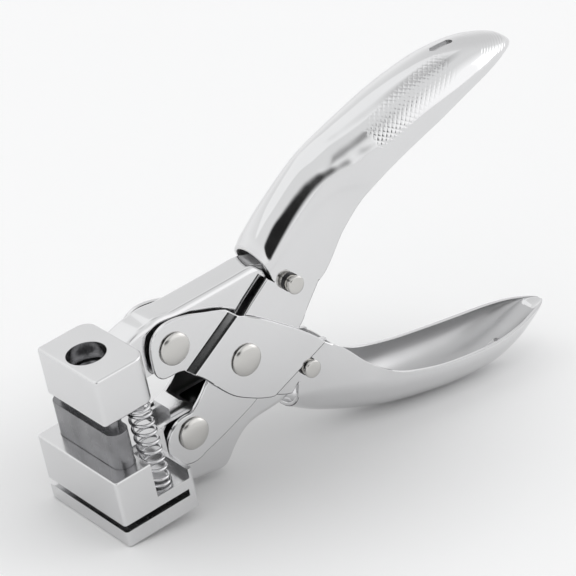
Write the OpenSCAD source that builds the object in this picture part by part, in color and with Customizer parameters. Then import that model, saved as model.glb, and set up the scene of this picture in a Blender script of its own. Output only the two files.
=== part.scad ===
// Parallel-action hand punch for a hang-hole slot: two blocks, two channel arms and two pressed handles.
// The mechanism is drawn in its own plane first: X runs from the punch to the grips, Z along the stroke,
// Y across. stand() then tips it onto its resting line, the front lower edge of the block and the lower grip.

/* [Stance] */
// Tilt of the stroke axis when the tool stands on a table, degrees
stance_deg = 9.7; // [0:0.05:14]

/* [Upper block] */
// Half width of the upper block
upper_half_w = 14.5; // [13:0.5:18]
// Front face of the upper block, measured from the screw axis
upper_front = 7.5; // [7:0.5:10]
// Rear face of the upper block, measured from the screw axis
upper_rear = 10.7; // [9:0.1:11]
// Underside of the upper block with the tool open
upper_bottom = 36.6; // [36.6:0.1:37.6]
// Top of the upper block
upper_top = 52; // [51:0.5:54]
// Radius of the screw well in the top face
well_r = 5.9; // [5:0.1:6.5]

/* [Lower block] */
// Half width of the lower block
lower_half_w = 19.5; // [19:0.5:22]
// Front face of the lower block, measured from the screw axis
lower_front = 11.5; // [10:0.5:14]
// Rear face of the lower block
lower_rear = 13.7; // [13.5:0.1:13.9]
// Top of the lower block
lower_top = 22; // [20:0.5:23]
// Underside of the work slit, which is the top of the base plate
slit_bottom = 5.1; // [4.5:0.1:5.5]
// Height of the work slit
slit_h = 2.2; // [1.5:0.1:3]
// Rear end of the work slit
slit_end = 11.2; // [9:0.1:11.5]
// Floor of the two spring recesses
recess_floor = 10.6; // [10:0.1:13]

/* [Punch] */
// Full width of the punched slot
slot_w = 32; // [30:1:33]
// Depth of the punched slot
slot_d = 7; // [6:0.5:7]
// Radius of the hook bump in the middle of the slot
bump_r = 5.2; // [4:0.1:5.5]
// Cutting edge with the tool open
punch_edge = 9.4; // [9:0.1:12]

/* [Linkage] */
// Half of the distance between the front rivets and the slide pins
link_a = 21.17; // [20.5:0.01:21.5]
// Half of the distance between the upper and the lower pins
link_b = 14.65; // [14.4:0.01:14.9]
// Main pivot, X
pivot_x = 44.68; // [44.2:0.01:45.2]
// Main pivot, Z
pivot_z = 29.33; // [29:0.01:29.6]
// Sheet thickness of the arms and handles
sheet = 1.3; // [1.2:0.1:1.3]
// Handle turn from open to shut, degrees
squeeze_deg = 10; // [8:0.5:10]

/* [Springs] */
// Outside diameter of the opening springs
spring_d = 7.4; // [6:0.1:7.6]
// Wire diameter of the opening springs
wire_d = 1; // [0.8:0.1:1.2]
// Turns in each opening spring
spring_turns = 9.5; // [7:0.5:11]

/* [Hidden] */

$fn = 48;
eps = 0.02;            // keeps touching faces apart inside one body
fit = 0.05;            // radial running clearance of a pin in its hole
reach = 60;            // longer than anything it cuts

// Sheet levels, as distances from the middle plane
arm_out = 5.3;                      // outer face of the channel arms
arm_in = arm_out - sheet;
cheek_in = arm_out + 1.15;          // handle cheeks over the arms
cheek_out = cheek_in + sheet;
raised_in = cheek_out + 0.65;       // the lower handle's cheeks step over the upper handle's
raised_out = raised_in + sheet;

// Pins
pivot = [pivot_x, pivot_z];
front_up = [pivot_x - link_a, pivot_z + link_b];
front_low = [pivot_x - link_a, pivot_z - link_b];
slide_up = [pivot_x + link_a, pivot_z + link_b];
slide_low = [pivot_x + link_a, pivot_z - link_b];
slide_travel = 2 * link_a * (cos(squeeze_deg) - 1) + 2 * link_b * sin(squeeze_deg);
rivet_r = 3;
rivet_head_r = 5;
rivet_head_h = 1.6;
pivot_shank_r = 2.6;
spacer_r = 3.5;
slide_r = 2.5;
slide_head_r = 2.8;
slide_head_h = 1.1;
slide_neck_r = 2.2;
slide_end = 11;                     // outer end of the slide pins from the middle plane
slide_washer_t = 0.7;
slide_slot_r = slide_r + 0.1;
slide_play = 0.3;                   // left at each end of the slide slots

// Arms
arm_top = 53.2;                     // top face of the upper arm
arm_corner = 2.4;
upper_arm_low = 38;                 // lower edge of the upper arm's walls
lower_arm_high = 2 * pivot_z - upper_arm_low - 0.2;
tail_end = slide_up[0] + slide_travel + slide_r + 3.2;
tongue_half_w = arm_in - 0.1;
dowel_r = 1.5;
dowel_low = [19.6, 9.6];
dowel_up = [dowel_low[0], 2 * pivot_z - dowel_low[1]];

// Recesses and springs
recess_front = 0.9;
recess_rear = 12.2;
recess_in = 7.6;                    // inner wall of each recess from the middle plane
rib_top = 13.5;
spring_x = 5.5;
spring_low_y = 14;                  // the springs lean in towards the top
spring_high_y = 11.9;
peg_r = 2.3;
peg_h = 2.4;

// Punch and die
punch_mid = [-3.5, 0];              // middle of the slot's straight part
neck_inset = 2.2;
punch_shoulder = 33.6;              // the punch is narrower above this level
punch_root = upper_bottom + 3;
guide_gap = 0.1;
die_gap = 0.15;
die_half = [19, 8.5];
die_t = 3;
die_x = -1;
die_screw = [4.2, 12.5];
screw_r = 2.5;
screw_head_r = 5;
screw_head_h = 4.4;
well_floor = 41;

// Handles: stations along each grip, [ridge x, ridge z, rim x, rim z, half width, depth of the round back]
wall_w = cheek_out - eps;
upper_grip = [
    [57.7, 56.8, 61.5, 43, wall_w, 6.4], [66.5, 65, 75.8, 39.3, wall_w, 9.6],
    [79, 73.7, 87.3, 50.6, wall_w + 0.2, 12.3], [86.8, 77, 94.4, 57, 8.8, 12.6],
    [95, 79.1, 100.2, 61, 10.2, 12.8], [103.5, 81.1, 107, 64.4, 11.2, 12.8],
    [113.4, 83.3, 115.4, 67.6, 11.8, 12.4], [124.2, 85, 125.3, 70.6, 12, 11.8],
    [135, 85.8, 135.2, 73.6, 11.7, 10.6], [145.5, 85.1, 145.5, 75.6, 10.2, 8.6],
    [153.1, 83.2, 152.7, 76.4, 8, 6.4], [158.7, 80.9, 158.2, 76.6, 5.4, 4],
    [161.8, 78.5, 161.4, 76.2, 3.2, 2], [163.4, 76.5, 163, 75.2, 1.2, 1.2]
];
lower_grip = [
    [59.4, 1.2, 63, 15, wall_w, 6.4], [68, -5, 75.5, 17, wall_w, 9.6],
    [79, -10.9, 86.3, 5.2, 8.8, 11.6], [87.2, -14.2, 91.4, 0.4, 10.6, 11.8],
    [94, -16.6, 96.5, -2.9, 11.7, 11.8], [103, -19, 103.4, -5.7, 12.3, 12],
    [113, -21.2, 112.5, -8.5, 12.6, 11.8], [124, -22.9, 123.5, -10.8, 12.4, 11.4],
    [134, -23.2, 134.5, -12.5, 11.6, 10], [144, -21.2, 144.5, -13.2, 9.7, 7.6],
    [151, -18.7, 151.2, -13.5, 7.4, 5], [156, -17, 156.2, -14.1, 5, 2.8],
    [158.9, -16.3, 159.1, -14.5, 3, 1.7], [160.7, -15.9, 160.8, -14.7, 1.2, 1.1]
];
hang_slot_w = 2.6;
hang_slot_l = 9;
hang_slot_x = 138;

// Points on a smooth curve through the given points, with the ends kept
function spline_point(p0, p1, p2, p3, t) = 0.5 * (2 * p1 + (p2 - p0) * t
    + (2 * p0 - 5 * p1 + 4 * p2 - p3) * t * t + (3 * p1 - p0 - 3 * p2 + p3) * t * t * t);
function smooth(pts, steps = 5) = let (n = len(pts)) [
    for (i = [0:n - 2], k = [0:steps - 1])
        spline_point(pts[max(i - 1, 0)], pts[i], pts[i + 1], pts[min(i + 2, n - 1)], k / steps),
    pts[n - 1]];

// Tips the mechanism onto its resting line
module stand() {
    rotate([0, -stance_deg, 0]) children();
}

// A flat outline in the X-Z plane as a plate between two distances from the middle plane
module slab(y0, y1) {
    translate([0, y1, 0]) rotate([90, 0, 0]) linear_extrude(y1 - y0) children();
}

// The same plate on both sides of the middle plane
module both_sides(y0, y1) {
    slab(y0, y1) children();
    slab(-y1, -y0) children();
}

// A round bar across the tool at a point of the X-Z plane
module cross_bar(at, r, y0, y1) {
    slab(y0, y1) translate(at) circle(r);
}

// A straight slot along X with round ends
module slot_outline(x0, x1, z, r) {
    translate([x0, z - r]) square([x1 - x0, 2 * r]);
    for (x = [x0, x1]) translate([x, z]) circle(r);
}

// A rectangle with its own radius at the front and at the rear corners
module block_outline(x0, x1, half_w, front_r, rear_r) {
    translate([x0 + front_r, -half_w]) square([x1 - x0 - front_r - rear_r, 2 * half_w]);
    translate([x0, -half_w + front_r]) square([front_r + 1, 2 * (half_w - front_r)]);
    translate([x1 - rear_r - 1, -half_w + rear_r]) square([rear_r + 1, 2 * (half_w - rear_r)]);
    for (s = [-1, 1]) {
        translate([x0 + front_r, s * (half_w - front_r)]) circle(front_r);
        translate([x1 - rear_r, s * (half_w - rear_r)]) circle(rear_r);
    }
}

// The hang-hole outline, grown or shrunk by a margin
module hang_hole(grow = 0) {
    r = slot_d / 2 + grow;
    end_y = slot_w / 2 - slot_d / 2;
    translate(punch_mid) {
        translate([-r, -end_y]) square([2 * r, 2 * end_y]);
        for (s = [-1, 1]) translate([0, s * end_y]) circle(r);
    }
    circle(bump_r + grow);
}

// Dome-headed rivet across the tool
module dome_rivet(at, shank_r, face) {
    cap_r = (rivet_head_r * rivet_head_r + rivet_head_h * rivet_head_h) / (2 * rivet_head_h);
    cross_bar(at, shank_r, -face - 0.1, face + 0.1);
    for (s = [-1, 1]) intersection() {
        translate([at[0], s * (face + rivet_head_h - cap_r), at[1]]) sphere(cap_r, $fn = 64);
        slab(min(s * face, s * (face + 3)), max(s * face, s * (face + 3)))
            translate(at) circle(rivet_head_r);
    }
}

// Slide pin with a necked stud end on each side
module slide_pin(at) {
    chamfer = 0.3;
    neck_in = cheek_out + slide_washer_t;
    head_in = slide_end - slide_head_h;
    cross_bar(at, slide_r, -neck_in, neck_in);
    for (s = [-1, 1]) translate([at[0], 0, at[1]]) rotate([-90 * s, 0, 0]) {
        cylinder(r = slide_neck_r, h = head_in + 0.1);
        translate([0, 0, head_in]) cylinder(r = slide_head_r, h = slide_head_h - chamfer);
        translate([0, 0, slide_end - chamfer])
            cylinder(r1 = slide_head_r, r2 = slide_head_r - chamfer, h = chamfer);
    }
}

// Flat washers under the slide pin's ends
module slide_washers(at) {
    both_sides(cheek_out + eps, cheek_out + slide_washer_t - eps) translate(at) difference() {
        circle(slide_head_r);
        circle(slide_r + eps);
    }
}

// Channel section with rounded outer corners, open away from the fold
module channel_section(fold_z, open_z) {
    s = fold_z > open_z ? 1 : -1;
    h = abs(fold_z - open_z);
    difference() {
        union() {
            translate([-arm_out, s > 0 ? open_z : fold_z + arm_corner])
                square([2 * arm_out, h - arm_corner]);
            translate([-arm_out + arm_corner, min(fold_z, open_z)]) square([2 * (arm_out - arm_corner), h]);
            for (k = [-1, 1])
                translate([k * (arm_out - arm_corner), fold_z - s * arm_corner]) circle(arm_corner);
        }
        translate([-arm_in, s > 0 ? open_z - 1 : fold_z + sheet]) square([2 * arm_in, h - sheet + 1]);
    }
}

// A section in the Y-Z plane pulled along X
module pull_along_x(x0, x1) {
    translate([x0, 0, 0]) rotate([90, 0, 90]) linear_extrude(x1 - x0) children();
}

// One ring of the grip shell: the outer curve from rim to rim, then the inner curve back
function grip_ring(s) = let (
        ridge = [s[0], s[1]], rim = [s[2], s[3]], depth = norm(ridge - rim), up = (ridge - rim) / depth,
        w = s[4], cap = min(depth * 0.96, s[5]),
        w_in = max(w - sheet + eps, w * 0.3), cap_in = max(cap - sheet, cap * 0.25),
        wall = depth - cap, angles = [0:20:180],
        outer = concat([[w, 0]], [for (a = angles) [w * cos(a), wall + cap * sin(a)]], [[-w, 0]]),
        inner = concat([[-w_in, 0]], [for (a = angles) [-w_in * cos(a), wall + cap_in * sin(a)]],
            [[w_in, 0]]))
    [for (p = concat(outer, inner)) [rim[0] + up[0] * p[1], p[0], rim[1] + up[1] * p[1]]];

// Pressed grip: a round-backed trough that widens and then closes into a spoon tip.
// flip turns the faces round for a trough that opens upwards.
module grip_shell(stations, flip = false) {
    rings = [for (s = stations) grip_ring(s)];
    count = len(rings[0]);
    half = count / 2;
    last = len(rings) - 1;
    walls = [for (i = [0:last - 1], j = [0:count - 1]) let (
            a = i * count + j, b = i * count + (j + 1) % count, c = b + count, d = a + count)
        each [[a, b, c], [a, c, d]]];
    ends = [for (j = [0:half - 2]) let (
            a = j, b = j + 1, c = count - 2 - j, d = count - 1 - j, o = last * count)
        each [[a, d, c], [a, c, b], [o + a, o + c, o + d], [o + a, o + b, o + c]]];
    faces = concat(walls, ends);
    polyhedron([for (r = rings) each r], flip ? faces : [for (f = faces) [f[0], f[2], f[1]]],
        convexity = 6);
}

// Hanging slot through the ridge of a grip
module hang_slot(z, tilt) {
    translate([hang_slot_x, 0, z]) rotate([0, tilt, 0]) translate([0, 0, -6]) linear_extrude(12)
        slot_outline(-(hang_slot_l - hang_slot_w) / 2, (hang_slot_l - hang_slot_w) / 2, 0, hang_slot_w / 2);
}

// Side outline of the upper handle's cheek, from the lower rivet to the grip
module upper_cheek_outline() {
    translate([22.6, 13.9]) circle(7.9);
    polygon(concat(
        smooth([[18.6, 20.7], [24.4, 21.3], [29.2, 25], [36, 31.1]]),
        [[50, 42.8], [59.6, 49.6], [63.9, 50.3], [67.7, 54.4], [72.1, 57], [76, 41]],
        smooth([[75.6, 39.1], [66.7, 28.6], [56.5, 20.6], [46.8, 13.4], [41.3, 11], [33.1, 8], [24.5, 6.2]]),
        [[20, 12]]));
}

// Side outline of the lower handle's cheek around the upper rivet, up to the front step
module lower_lobe_outline() {
    polygon(concat(
        smooth([[44.4, 45], [41.4, 46.6], [35.8, 49.4], [29.7, 51.8], [24.2, 52.8], [20, 52], [17.2, 49.6],
            [15.9, 46], [15.6, 42], [15.9, 38.6], [17.6, 36.4], [20.2, 35.9], [23.2, 35.7], [26.4, 34.2]])));
}

// Side outline of the middle of the lower handle's cheek, which steps over the upper handle's
module lower_middle_outline() {
    polygon(concat(
        [[26.4, 34.2], [44.4, 45]],
        smooth([[44.4, 45], [47.4, 43], [53.4, 38.6], [59.7, 33.2], [65.6, 27.9], [70.2, 23.2], [73, 19.3]]),
        [[51.5, 12.4]],
        smooth([[50.2, 12.6], [45.4, 14.6], [39.2, 18.9], [35.2, 23.2], [31.5, 28.4], [29.4, 31.2],
            [26.4, 34.2]])));
}

// Strip along a step line, where the sheet climbs from one level to the other
module step_strip(from, to, width) {
    along = (to - from) / norm(to - from);
    side = [-along[1], along[0]] * width / 2;
    polygon([from + side, to + side, to - side, from - side]);
}

// ---- Lower jaw: block, die, arm and springs ----

module lower_block() {
    tongue_top = 17.5;
    color("gainsboro") stand() difference() {
        union() {
            linear_extrude(lower_top) block_outline(-lower_front, lower_rear, lower_half_w, 1, 1);
            slab(-tongue_half_w, tongue_half_w) polygon([[lower_rear - 2, 3], [28, 3], [28, 17],
                [27.6, 21], [23.6, 24.5], [19.5, 23.7], [19.5, tongue_top], [lower_rear - 2, tongue_top]]);
        }
        translate([-reach, -reach, slit_bottom]) cube([reach + slit_end, 2 * reach, slit_h]);
        translate([0, 0, slit_bottom + 1]) linear_extrude(reach) hang_hole(guide_gap);
        translate([0, 0, -1]) linear_extrude(slit_bottom + 2) hang_hole(1);
        translate([die_x - die_half[1] - eps, -die_half[0] - eps, slit_bottom - die_t])
            cube([2 * (die_half[1] + eps), 2 * (die_half[0] + eps), die_t + 1]);
        for (s = [-1, 1]) {
            translate([recess_front, s > 0 ? recess_in : -reach, recess_floor])
                cube([recess_rear - recess_front, reach - recess_in, reach]);
            translate([recess_front, s > 0 ? recess_in : -reach, rib_top])
                cube([reach, reach - recess_in, reach]);
            translate([spring_x, s * spring_low_y, recess_floor - 2]) cylinder(r = peg_r + eps, h = 4);
            translate([die_screw[0], s * die_screw[1], -1]) cylinder(r = 1.3, h = 4);
            translate([die_screw[0], s * die_screw[1], -eps]) cylinder(r1 = 2.5, r2 = 1.3, h = 1.2);
        }
        cross_bar(front_low, rivet_r + eps, -reach, reach);
        cross_bar(dowel_low, dowel_r + eps, -reach, reach);
    }
}

module die_plate() {
    color("dimgray") stand() difference() {
        translate([die_x - die_half[1], -die_half[0], slit_bottom - die_t + eps])
            cube([2 * die_half[1], 2 * die_half[0], die_t - eps]);
        translate([0, 0, -1]) linear_extrude(reach) hang_hole(die_gap);
        for (s = [-1, 1]) translate([die_screw[0], s * die_screw[1], -1]) cylinder(r = 1.3, h = 5.2);
    }
}

module die_screws() {
    color("silver") stand() for (s = [-1, 1])
    translate([die_screw[0], s * die_screw[1], 0.05]) difference() {
        union() {
            cylinder(r1 = 2.4, r2 = 1.2, h = 1.2);
            translate([0, 0, 1]) cylinder(r = 1.25, h = 3);
        }
        translate([0, 0, -0.1]) cylinder(r = 1, h = 0.8, $fn = 6);
    }
}

module lower_arm() {
    slot_back = slide_low[0] + slide_travel;
    color("gainsboro") stand() difference() {
        intersection() {
            union() {
                pull_along_x(lower_rear + eps, 40) channel_section(-4.7, lower_arm_high);
                pull_along_x(38, tail_end) channel_section(2 * pivot_z - arm_top, lower_arm_high);
            }
            slab(-reach, reach) polygon(concat(
                [[lower_rear + eps, lower_arm_high], [lower_rear + eps, -1.4]],
                smooth([[18, -2.2], [27, -3.9], [32.5, -4.7], [35.2, -3.6], [38.2, 0.4], [41.5, 3.2],
                    [46, 5]]),
                [[56, 5.4], [61, 6.8], [tail_end - 5, 9], [tail_end, 12], [tail_end, 18],
                    [tail_end - 3, lower_arm_high]]));
        }
        slab(-reach, reach)
            slot_outline(slide_low[0] - slide_play, slot_back + slide_play, slide_low[1], slide_slot_r);
        cross_bar(front_low, rivet_r + eps, -reach, reach);
        cross_bar(dowel_low, dowel_r + eps, -reach, reach);
    }
    // web of the front part, closing the step in the underside
    color("gainsboro") stand() slab(-arm_in - 0.1, arm_in + 0.1)
        polygon([[37.2, -1.1], [39.9, 1.8], [39.9, 7.2], [37.2, 4]]);
}

module lower_arm_dowel() {
    color("silver") stand() cross_bar(dowel_low, dowel_r, -arm_out, arm_out);
}

module lower_front_rivet() {
    color("lightgray") stand() dome_rivet(front_low, rivet_r, cheek_out + fit);
}

// One opening spring: a wire swept round a helix that leans towards the middle at the top
module spring(side) {
    sides = 6;
    per_turn = 12;
    rings = spring_turns * per_turn;
    r = (spring_d - wire_d) / 2;
    low = recess_floor + wire_d / 2 + eps;
    high = upper_bottom - wire_d / 2 - eps;
    points = [for (i = [0:rings], k = [0:sides - 1]) let (
            t = i / rings, turn = 360 * i / per_turn, around = 360 * k / sides,
            rr = r + wire_d / 2 * cos(around),
            y = side * (spring_low_y + (spring_high_y - spring_low_y) * t))
        [spring_x + rr * cos(turn), y + rr * sin(turn), low + (high - low) * t + wire_d / 2 * sin(around)]];
    walls = [for (i = [0:rings - 1], k = [0:sides - 1]) let (
            a = i * sides + k, b = i * sides + (k + 1) % sides)
        each [[a, b, b + sides], [a, b + sides, a + sides]]];
    polyhedron(points, concat(walls, [[for (k = [sides - 1:-1:0]) k]],
        [[for (k = [0:sides - 1]) rings * sides + k]]), convexity = 10);
}

module spring_left() {
    color("silver") stand() spring(1);
}

module spring_right() {
    color("silver") stand() spring(-1);
}

module lower_spring_pegs() {
    color("silver") stand() for (s = [-1, 1])
        translate([spring_x, s * spring_low_y, recess_floor - 1.9]) cylinder(r = peg_r, h = peg_h + 1.9);
}

// ---- Upper handle ----

module upper_handle() {
    color("gainsboro") stand() difference() {
        union() {
            grip_shell(upper_grip);
            both_sides(cheek_in, cheek_out) upper_cheek_outline();
        }
        cross_bar(front_low, rivet_r + fit, -reach, reach);
        cross_bar(pivot, pivot_shank_r + eps, -reach, reach);
        cross_bar(slide_up, slide_r + eps, -reach, reach);
        hang_slot(85.4, 2);
    }
}

module upper_slide_pin() {
    color("silver") stand() slide_pin(slide_up);
}

module upper_slide_washers() {
    color("silver") stand() slide_washers(slide_up);
}

module pivot_rivet() {
    color("lightgray") stand() dome_rivet(pivot, pivot_shank_r, raised_out + fit);
}

module pivot_spacer() {
    color("darkgray") stand() slab(-cheek_in + eps, cheek_in - eps) translate(pivot) difference() {
        circle(spacer_r);
        circle(pivot_shank_r + eps);
    }
}

// ---- Lower handle ----

module lower_handle() {
    front_step = [[26.4, 34.2], [44.4, 45]];
    rear_step = [[51.5, 12.1], [73, 19.6]];
    color("gainsboro") stand() difference() {
        union() {
            grip_shell(lower_grip, flip = true);
            both_sides(cheek_in, cheek_out) {
                lower_lobe_outline();
                polygon([[51.5, 11.9], [73.2, 19.6], [75.4, 16.9], [70, 3], [66, 4], [60.8, 7.9],
                    [56, 9.6]]);
            }
            both_sides(raised_in, raised_out) lower_middle_outline();
            both_sides(cheek_in + eps, raised_out - eps) {
                intersection() {
                    union() {
                        lower_lobe_outline();
                        lower_middle_outline();
                    }
                    step_strip(front_step[0] - [5, 3], front_step[1] + [5, 3], sheet);
                }
                step_strip(rear_step[0], rear_step[1], sheet);
            }
        }
        cross_bar(front_up, rivet_r + fit, -reach, reach);
        cross_bar(pivot, pivot_shank_r + fit, -reach, reach);
        cross_bar(slide_low, slide_r + eps, -reach, reach);
        // room in the stepped-out sheet for the stud ends and their washers
        both_sides(cheek_out + eps, raised_out + 1) translate(slide_low) circle(slide_head_r + 0.6);
        hang_slot(-22.8, -2);
    }
}

module lower_slide_pin() {
    color("silver") stand() slide_pin(slide_low);
}

module lower_slide_washers() {
    color("silver") stand() slide_washers(slide_low);
}

// ---- Upper jaw: arm, block and punch ----

module upper_arm() {
    slot_back = slide_up[0] + slide_travel;
    color("gainsboro") stand() difference() {
        intersection() {
            pull_along_x(upper_rear + eps, tail_end) channel_section(arm_top, upper_arm_low);
            slab(-reach, 2 * reach) polygon([[upper_rear + eps, upper_arm_low], [upper_rear + eps, arm_top],
                [56, arm_top], [61, arm_top - 1.4], [tail_end - 5, arm_top - 4], [tail_end, 47],
                [tail_end, 41], [tail_end - 3, upper_arm_low]]);
        }
        slab(-reach, reach)
            slot_outline(slide_up[0] - slide_play, slot_back + slide_play, slide_up[1], slide_slot_r);
        cross_bar(front_up, rivet_r + eps, -reach, reach);
        cross_bar(dowel_up, dowel_r + eps, -reach, reach);
    }
}

module upper_block() {
    color("gainsboro") stand() difference() {
        union() {
            translate([0, 0, upper_bottom]) linear_extrude(upper_top - upper_bottom)
                block_outline(-upper_front, upper_rear, upper_half_w, 1.2, 3.5);
            slab(-tongue_half_w, tongue_half_w) polygon([[upper_rear - 2, 39], [19.5, 39], [19.5, 35.4],
                [27.6, 35.4], [28, 39], [28, 49.5], [upper_rear - 2, 49.5]]);
        }
        translate([0, 0, well_floor]) cylinder(r = well_r, h = reach);
        translate([0, 0, upper_bottom - 1]) cylinder(r = screw_r + 0.2, h = reach);
        translate([0, 0, upper_bottom - 1]) linear_extrude(punch_root - upper_bottom + 1 + eps)
            hang_hole(eps - neck_inset);
        for (s = [-1, 1])
            translate([spring_x, s * spring_high_y, upper_bottom - 1])
                cylinder(r = peg_r + eps - 0.5, h = 3);
        cross_bar(front_up, rivet_r + eps, -reach, reach);
        cross_bar(dowel_up, dowel_r + eps, -reach, reach);
    }
}

module punch() {
    color("dimgray") stand() difference() {
        union() {
            translate([0, 0, punch_edge]) linear_extrude(punch_shoulder - punch_edge) hang_hole();
            translate([0, 0, punch_edge + 1])
                linear_extrude(punch_root - punch_edge - 1) hang_hole(-neck_inset);
        }
        translate([0, 0, punch_shoulder - 6]) cylinder(r = screw_r + eps, h = reach);
    }
}

module punch_screw() {
    head_low = well_floor + 1;
    color("dimgray") stand() difference() {
        union() {
            translate([0, 0, punch_shoulder - 5])
                cylinder(r = screw_r, h = head_low - punch_shoulder + 5.5);
            translate([0, 0, head_low]) cylinder(r = screw_head_r, h = screw_head_h);
        }
        translate([0, 0, head_low + screw_head_h - 2.4]) cylinder(r = 2.9, h = 3, $fn = 6);
    }
}

module punch_washer() {
    color("gray") stand() translate([0, 0, well_floor + eps]) linear_extrude(1 - 2 * eps) difference() {
        circle(screw_head_r + 0.4);
        circle(screw_r + 0.2);
    }
}

module upper_arm_dowel() {
    color("silver") stand() cross_bar(dowel_up, dowel_r, -arm_out, arm_out);
}

module upper_front_rivet() {
    color("lightgray") stand() dome_rivet(front_up, rivet_r, cheek_out + fit);
}

module upper_spring_pegs() {
    color("silver") stand() for (s = [-1, 1])
        translate([spring_x, s * spring_high_y, upper_bottom - 1.4]) cylinder(r = peg_r - 0.5, h = 3.3);
}

lower_block();
die_plate();
die_screws();
lower_arm();
lower_arm_dowel();
lower_front_rivet();
spring_left();
spring_right();
lower_spring_pegs();
upper_handle();
upper_slide_pin();
upper_slide_washers();
pivot_rivet();
pivot_spacer();
lower_handle();
lower_slide_pin();
lower_slide_washers();
upper_arm();
upper_block();
punch();
punch_screw();
punch_washer();
upper_arm_dowel();
upper_front_rivet();
upper_spring_pegs();
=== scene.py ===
import math

import bmesh
import bpy
import numpy as np
from mathutils import Matrix, Vector


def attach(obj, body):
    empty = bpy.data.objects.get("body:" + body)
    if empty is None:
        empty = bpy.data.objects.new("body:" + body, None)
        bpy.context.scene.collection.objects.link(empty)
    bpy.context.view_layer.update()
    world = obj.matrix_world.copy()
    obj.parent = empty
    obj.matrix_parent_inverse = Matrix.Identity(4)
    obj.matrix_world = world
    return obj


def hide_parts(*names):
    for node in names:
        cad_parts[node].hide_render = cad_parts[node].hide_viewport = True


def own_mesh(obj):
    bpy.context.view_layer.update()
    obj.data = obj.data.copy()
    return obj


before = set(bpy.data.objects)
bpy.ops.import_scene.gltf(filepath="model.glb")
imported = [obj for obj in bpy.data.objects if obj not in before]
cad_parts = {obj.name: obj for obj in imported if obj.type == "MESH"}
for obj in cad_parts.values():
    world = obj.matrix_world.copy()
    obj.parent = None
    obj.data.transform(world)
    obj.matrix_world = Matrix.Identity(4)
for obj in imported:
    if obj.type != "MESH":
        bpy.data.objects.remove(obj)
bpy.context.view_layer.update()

# ------------------------------------------------------------------ frame
# Pieces are drawn in the mechanism's own axes in millimetres: X from the punch to the grips, Z along the
# stroke, Y across. TO_FRAME tips them onto the tool's resting line and turns them into metres.
TILT = math.radians(9.7)
TO_FRAME = Matrix.Rotation(-TILT, 4, "Y") @ Matrix.Scale(0.001, 4)
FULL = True


def to_frame(x, y, z):
    return TO_FRAME @ Vector((x, y, z))


# ------------------------------------------------------------------ the tool's sizes, mm
# Sheet thickness, then the faces of the arms, the cheeks and the cheeks' raised plates from the middle plane
SHEET = 1.3
ARM_OUT = 5.3
ARM_IN = ARM_OUT - SHEET
CHEEK_IN = ARM_OUT + 1.15
CHEEK_OUT = CHEEK_IN + SHEET
RAISED_IN = CHEEK_OUT + 0.65
RAISED_OUT = RAISED_IN + SHEET
# The pins' axes lie this far from the pivot's, along X and along Z
LINK_A, LINK_B = 21.17, 14.65
PIVOT = (44.68, 29.33)
FRONT_UP = (PIVOT[0] - LINK_A, PIVOT[1] + LINK_B)
FRONT_LOW = (PIVOT[0] - LINK_A, PIVOT[1] - LINK_B)
SLIDE_UP = (PIVOT[0] + LINK_A, PIVOT[1] + LINK_B)
SLIDE_LOW = (PIVOT[0] + LINK_A, PIVOT[1] - LINK_B)
# How far a slide pin travels, half the width of its slot and the play at each end
TRAVEL = 4.45
SLOT_R = 2.6
SLOT_PLAY = 0.3

# Blocks: reach along X, half width and heights above the base
UPPER_X, UPPER_HALF, UPPER_Z = (-7.5, 10.7), 14.5, (36.6, 52)
LOWER_X, LOWER_HALF, LOWER_TOP = (-11.5, 13.7), 19.5, 22
TONGUE_HALF = 3.9
SLIT_Z = (5.1, 7.3)
WELL_R, WELL_FLOOR = 5.9, 41
SPRING_X, SPRING_Y, SPRING_FOOT = 5.5, 14, 10.6
# Cutters reach this far, past every face
PAST = 40


# ------------------------------------------------------------------ mesh helpers
def new_object(name, verts, faces):
    me = bpy.data.meshes.new(name)
    me.from_pydata([tuple(map(float, v)) for v in verts], [], [tuple(f) for f in faces])
    me.validate()
    o = bpy.data.objects.new(name, me)
    bpy.context.scene.collection.objects.link(o)
    return o


def fix_normals(o):
    bm = bmesh.new()
    bm.from_mesh(o.data)
    bmesh.ops.recalc_face_normals(bm, faces=bm.faces)
    bm.to_mesh(o.data)
    bm.free()


def bevel(o, width, segments=2, angle=35):
    m = o.modifiers.new("bevel", "BEVEL")
    m.width = width
    m.segments = segments
    m.limit_method = "ANGLE"
    m.angle_limit = math.radians(angle)
    m.use_clamp_overlap = True
    m.harden_normals = False
    return m


def boolean(o, other, operation, solver="EXACT"):
    m = o.modifiers.new(operation.lower(), "BOOLEAN")
    m.operation = operation
    m.solver = solver
    m.object = other


def cut(o, *cutters, solver="EXACT"):
    for cutter in cutters:
        boolean(o, cutter, "DIFFERENCE", solver)


def bake(o, temp=(), smooth_angle=30):
    """Turns the modifiers into mesh, moves the mesh into the frame and shades it."""
    dg = bpy.context.evaluated_depsgraph_get()
    dg.update()
    me = bpy.data.meshes.new_from_object(o.evaluated_get(dg))
    o.modifiers.clear()
    old = o.data
    o.data = me
    bpy.data.meshes.remove(old)
    me.name = o.name
    me.transform(TO_FRAME)
    bm = bmesh.new()
    bm.from_mesh(me)
    sharp = math.radians(smooth_angle)
    for f in bm.faces:
        f.smooth = True
    for e in bm.edges:
        e.smooth = len(e.link_faces) != 2 or e.calc_face_angle(0.0) < sharp
    bm.to_mesh(me)
    bm.free()
    for t in temp:
        bpy.data.objects.remove(t)
    w = o.modifiers.new("weighted", "WEIGHTED_NORMAL")
    w.mode = "FACE_AREA"
    w.weight = 50
    w.keep_sharp = True
    return o


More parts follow.
